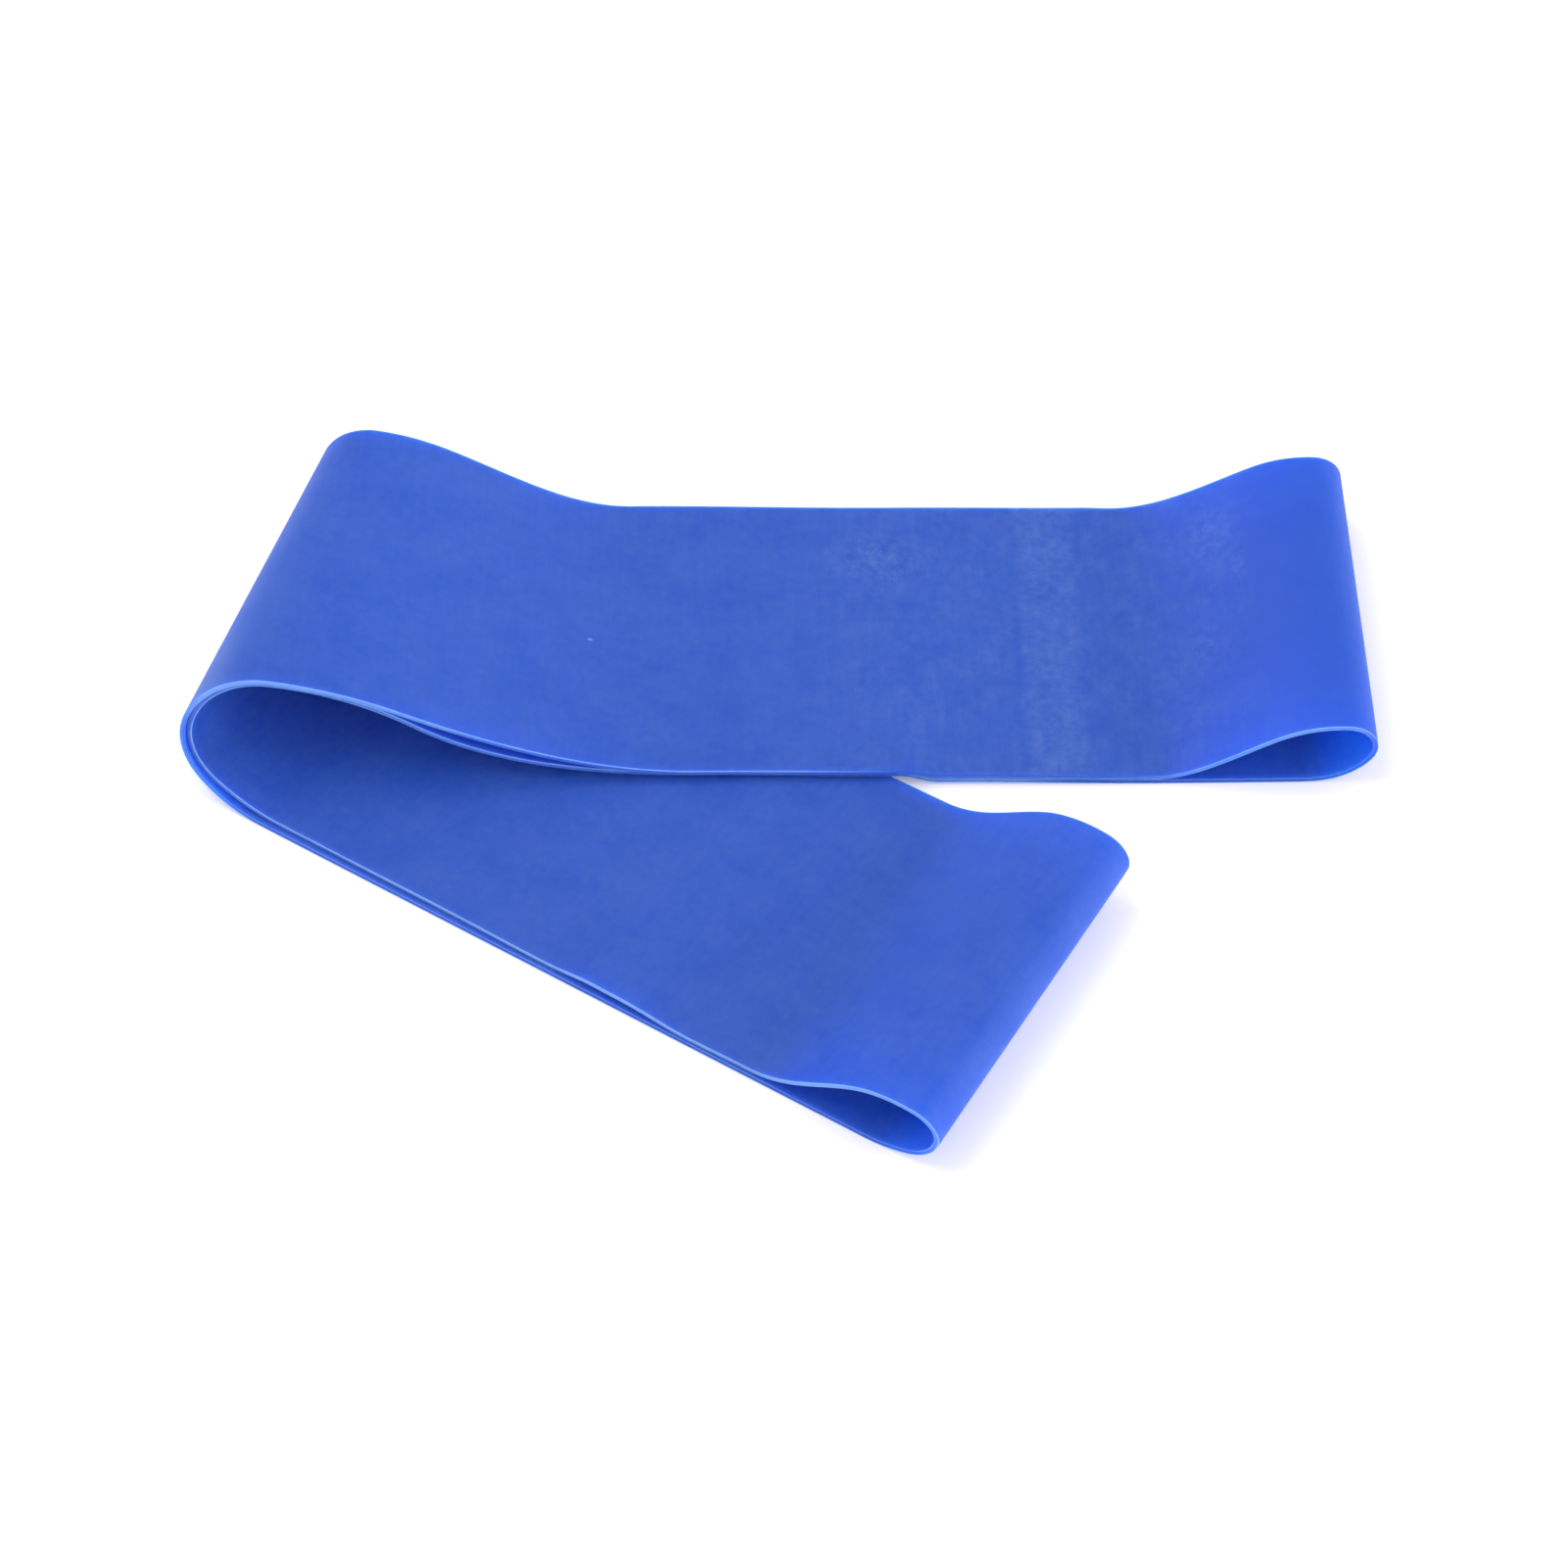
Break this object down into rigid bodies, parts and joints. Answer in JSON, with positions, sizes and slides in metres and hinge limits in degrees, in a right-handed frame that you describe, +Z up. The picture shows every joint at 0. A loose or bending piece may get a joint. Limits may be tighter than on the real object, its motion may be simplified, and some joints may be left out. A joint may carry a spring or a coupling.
{
  "type": "latex loop exercise band",
  "caption": "Flat endless latex loop band for stretching, folded once so an upper leg crosses a lower leg, each ending in an open bight.",
  "frame": {"origin": "centre of the footprint's bounding box, on the surface that the band lies on", "axes": "+X along the upper leg away from the fold, +Y to the back edge of the upper leg, +Z up"},
  "size_m": [0.1624, 0.1142, 0.0202],
  "materials": {
    "latex": "satin"
  },
  "bodies": {
    "root": {"latex_loop": "latex"}
  },
  "joints": []
}
